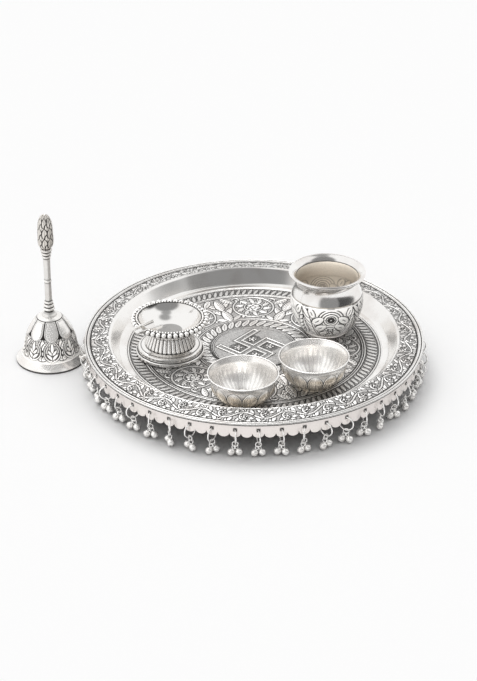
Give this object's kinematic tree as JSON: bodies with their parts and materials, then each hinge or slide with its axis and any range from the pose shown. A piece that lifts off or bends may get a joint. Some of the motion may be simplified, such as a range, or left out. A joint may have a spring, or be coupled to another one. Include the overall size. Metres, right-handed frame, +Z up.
{
  "type": "puja thali set",
  "caption": "Silver puja thali: a round chased tray on a foot ring with a scalloped skirt and jingling fringe, and a kalash, bowls, an oil lamp and a hand bell that lift off.",
  "frame": {"origin": "on the table, under the tray's axis", "axes": "+Z is up, and the front of the tray, where the two bowls stand, faces -Y; the bell stands at -X"},
  "size_m": [0.3438, 0.2886, 0.133],
  "materials": {
    "chased_silver": "antique, chased",
    "plain_silver": "satin",
    "polished_silver": "polished",
    "fringe_silver": "polished"
  },
  "bodies": {
    "tray": {"thali_plate": "chased_silver", "rim_skirt": "plain_silver", "foot_ring": "plain_silver"},
    "kalash": {"kalash": "chased_silver"},
    "katori_front": {"katori_front": "polished_silver"},
    "katori_right": {"katori_right": "polished_silver"},
    "diya": {"diya_base": "polished_silver", "diya_bowl": "polished_silver"},
    "bell": {"bell_cup": "chased_silver", "bell_handle": "chased_silver", "clapper_staple": "plain_silver"},
    "clapper": {"bell_clapper": "plain_silver"},
    "fringe_drop_01": {"fringe_drop_01": "fringe_silver"},
    "fringe_drop_02": {"fringe_drop_02": "fringe_silver"},
    "fringe_drop_03": {"fringe_drop_03": "fringe_silver"},
    "fringe_drop_04": {"fringe_drop_04": "fringe_silver"},
    "fringe_drop_05": {"fringe_drop_05": "fringe_silver"},
    "fringe_drop_06": {"fringe_drop_06": "fringe_silver"},
    "fringe_drop_07": {"fringe_drop_07": "fringe_silver"},
    "fringe_drop_08": {"fringe_drop_08": "fringe_silver"},
    "fringe_drop_09": {"fringe_drop_09": "fringe_silver"},
    "fringe_drop_10": {"fringe_drop_10": "fringe_silver"},
    "fringe_drop_11": {"fringe_drop_11": "fringe_silver"},
    "fringe_drop_12": {"fringe_drop_12": "fringe_silver"},
    "fringe_drop_13": {"fringe_drop_13": "fringe_silver"},
    "fringe_drop_14": {"fringe_drop_14": "fringe_silver"},
    "fringe_drop_15": {"fringe_drop_15": "fringe_silver"},
    "fringe_drop_16": {"fringe_drop_16": "fringe_silver"},
    "fringe_drop_17": {"fringe_drop_17": "fringe_silver"},
    "fringe_drop_18": {"fringe_drop_18": "fringe_silver"},
    "fringe_drop_19": {"fringe_drop_19": "fringe_silver"},
    "fringe_drop_20": {"fringe_drop_20": "fringe_silver"},
    "fringe_drop_21": {"fringe_drop_21": "fringe_silver"},
    "fringe_drop_22": {"fringe_drop_22": "fringe_silver"},
    "fringe_drop_23": {"fringe_drop_23": "fringe_silver"},
    "fringe_drop_24": {"fringe_drop_24": "fringe_silver"},
    "fringe_drop_25": {"fringe_drop_25": "fringe_silver"},
    "fringe_drop_26": {"fringe_drop_26": "fringe_silver"},
    "fringe_drop_27": {"fringe_drop_27": "fringe_silver"},
    "fringe_drop_28": {"fringe_drop_28": "fringe_silver"},
    "fringe_drop_29": {"fringe_drop_29": "fringe_silver"},
    "fringe_drop_30": {"fringe_drop_30": "fringe_silver"},
    "fringe_drop_31": {"fringe_drop_31": "fringe_silver"},
    "fringe_drop_32": {"fringe_drop_32": "fringe_silver"},
    "fringe_drop_33": {"fringe_drop_33": "fringe_silver"},
    "fringe_drop_34": {"fringe_drop_34": "fringe_silver"},
    "fringe_drop_35": {"fringe_drop_35": "fringe_silver"},
    "fringe_drop_36": {"fringe_drop_36": "fringe_silver"},
    "fringe_drop_37": {"fringe_drop_37": "fringe_silver"},
    "fringe_drop_38": {"fringe_drop_38": "fringe_silver"},
    "fringe_drop_39": {"fringe_drop_39": "fringe_silver"},
    "fringe_drop_40": {"fringe_drop_40": "fringe_silver"},
    "fringe_drop_41": {"fringe_drop_41": "fringe_silver"},
    "fringe_drop_42": {"fringe_drop_42": "fringe_silver"},
    "fringe_drop_43": {"fringe_drop_43": "fringe_silver"},
    "fringe_drop_44": {"fringe_drop_44": "fringe_silver"},
    "fringe_drop_45": {"fringe_drop_45": "fringe_silver"},
    "fringe_drop_46": {"fringe_drop_46": "fringe_silver"},
    "fringe_drop_47": {"fringe_drop_47": "fringe_silver"},
    "fringe_drop_48": {"fringe_drop_48": "fringe_silver"}
  },
  "joints": [
    {"name": "kalash_lift", "type": "slide", "parent": "tray", "child": "kalash", "axis": [0, 0, 1], "range_m": [0, 0.12]},
    {"name": "katori_front_lift", "type": "slide", "parent": "tray", "child": "katori_front", "axis": [0, 0, 1], "range_m": [0, 0.12]},
    {"name": "katori_right_lift", "type": "slide", "parent": "tray", "child": "katori_right", "axis": [0, 0, 1], "range_m": [0, 0.12]},
    {"name": "diya_lift", "type": "slide", "parent": "tray", "child": "diya", "axis": [0, 0, 1], "range_m": [0, 0.12]},
    {"name": "bell_lift", "type": "slide", "parent": "tray", "child": "bell", "axis": [-0.7032, 0.0739, 0.7071], "range_m": [0, 0.15]},
    {"name": "clapper_swing", "type": "hinge", "parent": "bell", "child": "clapper", "pos_m": [-0.17006, 0.01787, 0.031], "axis": [0, 1, 0], "range_deg": [-42, 42]},
    {"name": "fringe_swing_01", "type": "hinge", "parent": "tray", "child": "fringe_drop_01", "pos_m": [0.00265, -0.13797, 0.02378], "axis": [0.0192, -0.9998, 0], "range_deg": [-18, 18]},
    {"name": "fringe_swing_02", "type": "hinge", "parent": "tray", "child": "fringe_drop_02", "pos_m": [0.02064, -0.13645, 0.02378], "axis": [0.1495, -0.9888, 0], "range_deg": [-18, 18]},
    {"name": "fringe_swing_03", "type": "hinge", "parent": "tray", "child": "fringe_drop_03", "pos_m": [0.03827, -0.13259, 0.02378], "axis": [0.2773, -0.9608, 0], "range_deg": [-18, 18]},
    {"name": "fringe_swing_04", "type": "hinge", "parent": "tray", "child": "fringe_drop_04", "pos_m": [0.05525, -0.12646, 0.02378], "axis": [0.4003, -0.9164, 0], "range_deg": [-18, 18]},
    {"name": "fringe_swing_05", "type": "hinge", "parent": "tray", "child": "fringe_drop_05", "pos_m": [0.07128, -0.11817, 0.02378], "axis": [0.5165, -0.8563, 0], "range_deg": [-18, 18]},
    {"name": "fringe_swing_06", "type": "hinge", "parent": "tray", "child": "fringe_drop_06", "pos_m": [0.0861, -0.10785, 0.02378], "axis": [0.6239, -0.7815, 0], "range_deg": [-18, 18]},
    {"name": "fringe_swing_07", "type": "hinge", "parent": "tray", "child": "fringe_drop_07", "pos_m": [0.09944, -0.09569, 0.02378], "axis": [0.7206, -0.6934, 0], "range_deg": [-18, 18]},
    {"name": "fringe_swing_08", "type": "hinge", "parent": "tray", "child": "fringe_drop_08", "pos_m": [0.11107, -0.08189, 0.02378], "axis": [0.8049, -0.5934, 0], "range_deg": [-18, 18]},
    {"name": "fringe_swing_09", "type": "hinge", "parent": "tray", "child": "fringe_drop_09", "pos_m": [0.12081, -0.06669, 0.02378], "axis": [0.8755, -0.4833, 0], "range_deg": [-18, 18]},
    {"name": "fringe_swing_10", "type": "hinge", "parent": "tray", "child": "fringe_drop_10", "pos_m": [0.12849, -0.05035, 0.02378], "axis": [0.9311, -0.3649, 0], "range_deg": [-18, 18]},
    {"name": "fringe_swing_11", "type": "hinge", "parent": "tray", "child": "fringe_drop_11", "pos_m": [0.13396, -0.03315, 0.02378], "axis": [0.9707, -0.2402, 0], "range_deg": [-18, 18]},
    {"name": "fringe_swing_12", "type": "hinge", "parent": "tray", "child": "fringe_drop_12", "pos_m": [0.13714, -0.01538, 0.02378], "axis": [0.9938, -0.1115, 0], "range_deg": [-18, 18]},
    {"name": "fringe_swing_13", "type": "hinge", "parent": "tray", "child": "fringe_drop_13", "pos_m": [0.13797, 0.00265, 0.02378], "axis": [0.9998, 0.0192, 0], "range_deg": [-18, 18]},
    {"name": "fringe_swing_14", "type": "hinge", "parent": "tray", "child": "fringe_drop_14", "pos_m": [0.13645, 0.02064, 0.02378], "axis": [0.9888, 0.1495, 0], "range_deg": [-18, 18]},
    {"name": "fringe_swing_15", "type": "hinge", "parent": "tray", "child": "fringe_drop_15", "pos_m": [0.13259, 0.03827, 0.02378], "axis": [0.9608, 0.2773, 0], "range_deg": [-18, 18]},
    {"name": "fringe_swing_16", "type": "hinge", "parent": "tray", "child": "fringe_drop_16", "pos_m": [0.12646, 0.05525, 0.02378], "axis": [0.9164, 0.4003, 0], "range_deg": [-18, 18]},
    {"name": "fringe_swing_17", "type": "hinge", "parent": "tray", "child": "fringe_drop_17", "pos_m": [0.11817, 0.07128, 0.02378], "axis": [0.8563, 0.5165, 0], "range_deg": [-18, 18]},
    {"name": "fringe_swing_18", "type": "hinge", "parent": "tray", "child": "fringe_drop_18", "pos_m": [0.10785, 0.0861, 0.02378], "axis": [0.7815, 0.6239, 0], "range_deg": [-18, 18]},
    {"name": "fringe_swing_19", "type": "hinge", "parent": "tray", "child": "fringe_drop_19", "pos_m": [0.09569, 0.09944, 0.02378], "axis": [0.6934, 0.7206, 0], "range_deg": [-18, 18]},
    {"name": "fringe_swing_20", "type": "hinge", "parent": "tray", "child": "fringe_drop_20", "pos_m": [0.08189, 0.11107, 0.02378], "axis": [0.5934, 0.8049, 0], "range_deg": [-18, 18]},
    {"name": "fringe_swing_21", "type": "hinge", "parent": "tray", "child": "fringe_drop_21", "pos_m": [0.06669, 0.12081, 0.02378], "axis": [0.4833, 0.8755, 0], "range_deg": [-18, 18]},
    {"name": "fringe_swing_22", "type": "hinge", "parent": "tray", "child": "fringe_drop_22", "pos_m": [0.05035, 0.12849, 0.02378], "axis": [0.3649, 0.9311, 0], "range_deg": [-18, 18]},
    {"name": "fringe_swing_23", "type": "hinge", "parent": "tray", "child": "fringe_drop_23", "pos_m": [0.03315, 0.13396, 0.02378], "axis": [0.2402, 0.9707, 0], "range_deg": [-18, 18]},
    {"name": "fringe_swing_24", "type": "hinge", "parent": "tray", "child": "fringe_drop_24", "pos_m": [0.01538, 0.13714, 0.02378], "axis": [0.1115, 0.9938, 0], "range_deg": [-18, 18]},
    {"name": "fringe_swing_25", "type": "hinge", "parent": "tray", "child": "fringe_drop_25", "pos_m": [-0.00265, 0.13797, 0.02378], "axis": [-0.0192, 0.9998, 0], "range_deg": [-18, 18]},
    {"name": "fringe_swing_26", "type": "hinge", "parent": "tray", "child": "fringe_drop_26", "pos_m": [-0.02064, 0.13645, 0.02378], "axis": [-0.1495, 0.9888, 0], "range_deg": [-18, 18]},
    {"name": "fringe_swing_27", "type": "hinge", "parent": "tray", "child": "fringe_drop_27", "pos_m": [-0.03827, 0.13259, 0.02378], "axis": [-0.2773, 0.9608, 0], "range_deg": [-18, 18]},
    {"name": "fringe_swing_28", "type": "hinge", "parent": "tray", "child": "fringe_drop_28", "pos_m": [-0.05525, 0.12646, 0.02378], "axis": [-0.4003, 0.9164, 0], "range_deg": [-18, 18]},
    {"name": "fringe_swing_29", "type": "hinge", "parent": "tray", "child": "fringe_drop_29", "pos_m": [-0.07128, 0.11817, 0.02378], "axis": [-0.5165, 0.8563, 0], "range_deg": [-18, 18]},
    {"name": "fringe_swing_30", "type": "hinge", "parent": "tray", "child": "fringe_drop_30", "pos_m": [-0.0861, 0.10785, 0.02378], "axis": [-0.6239, 0.7815, 0], "range_deg": [-18, 18]},
    {"name": "fringe_swing_31", "type": "hinge", "parent": "tray", "child": "fringe_drop_31", "pos_m": [-0.09944, 0.09569, 0.02378], "axis": [-0.7206, 0.6934, 0], "range_deg": [-18, 18]},
    {"name": "fringe_swing_32", "type": "hinge", "parent": "tray", "child": "fringe_drop_32", "pos_m": [-0.11107, 0.08189, 0.02378], "axis": [-0.8049, 0.5934, 0], "range_deg": [-18, 18]},
    {"name": "fringe_swing_33", "type": "hinge", "parent": "tray", "child": "fringe_drop_33", "pos_m": [-0.12081, 0.06669, 0.02378], "axis": [-0.8755, 0.4833, 0], "range_deg": [-18, 18]},
    {"name": "fringe_swing_34", "type": "hinge", "parent": "tray", "child": "fringe_drop_34", "pos_m": [-0.12849, 0.05035, 0.02378], "axis": [-0.9311, 0.3649, 0], "range_deg": [-18, 18]},
    {"name": "fringe_swing_35", "type": "hinge", "parent": "tray", "child": "fringe_drop_35", "pos_m": [-0.13396, 0.03315, 0.02378], "axis": [-0.9707, 0.2402, 0], "range_deg": [-18, 18]},
    {"name": "fringe_swing_36", "type": "hinge", "parent": "tray", "child": "fringe_drop_36", "pos_m": [-0.13714, 0.01538, 0.02378], "axis": [-0.9938, 0.1115, 0], "range_deg": [-18, 18]},
    {"name": "fringe_swing_37", "type": "hinge", "parent": "tray", "child": "fringe_drop_37", "pos_m": [-0.13797, -0.00265, 0.02378], "axis": [-0.9998, -0.0192, 0], "range_deg": [-18, 18]},
    {"name": "fringe_swing_38", "type": "hinge", "parent": "tray", "child": "fringe_drop_38", "pos_m": [-0.13645, -0.02064, 0.02378], "axis": [-0.9888, -0.1495, 0], "range_deg": [-18, 18]},
    {"name": "fringe_swing_39", "type": "hinge", "parent": "tray", "child": "fringe_drop_39", "pos_m": [-0.13259, -0.03827, 0.02378], "axis": [-0.9608, -0.2773, 0], "range_deg": [-18, 18]},
    {"name": "fringe_swing_40", "type": "hinge", "parent": "tray", "child": "fringe_drop_40", "pos_m": [-0.12646, -0.05525, 0.02378], "axis": [-0.9164, -0.4003, 0], "range_deg": [-18, 18]},
    {"name": "fringe_swing_41", "type": "hinge", "parent": "tray", "child": "fringe_drop_41", "pos_m": [-0.11817, -0.07128, 0.02378], "axis": [-0.8563, -0.5165, 0], "range_deg": [-18, 18]},
    {"name": "fringe_swing_42", "type": "hinge", "parent": "tray", "child": "fringe_drop_42", "pos_m": [-0.10785, -0.0861, 0.02378], "axis": [-0.7815, -0.6239, 0], "range_deg": [-18, 18]},
    {"name": "fringe_swing_43", "type": "hinge", "parent": "tray", "child": "fringe_drop_43", "pos_m": [-0.09569, -0.09944, 0.02378], "axis": [-0.6934, -0.7206, 0], "range_deg": [-18, 18]},
    {"name": "fringe_swing_44", "type": "hinge", "parent": "tray", "child": "fringe_drop_44", "pos_m": [-0.08189, -0.11107, 0.02378], "axis": [-0.5934, -0.8049, 0], "range_deg": [-18, 18]},
    {"name": "fringe_swing_45", "type": "hinge", "parent": "tray", "child": "fringe_drop_45", "pos_m": [-0.06669, -0.12081, 0.02378], "axis": [-0.4833, -0.8755, 0], "range_deg": [-18, 18]},
    {"name": "fringe_swing_46", "type": "hinge", "parent": "tray", "child": "fringe_drop_46", "pos_m": [-0.05035, -0.12849, 0.02378], "axis": [-0.3649, -0.9311, 0], "range_deg": [-18, 18]},
    {"name": "fringe_swing_47", "type": "hinge", "parent": "tray", "child": "fringe_drop_47", "pos_m": [-0.03315, -0.13396, 0.02378], "axis": [-0.2402, -0.9707, 0], "range_deg": [-18, 18]},
    {"name": "fringe_swing_48", "type": "hinge", "parent": "tray", "child": "fringe_drop_48", "pos_m": [-0.01538, -0.13714, 0.02378], "axis": [-0.1115, -0.9938, 0], "range_deg": [-18, 18]}
  ]
}
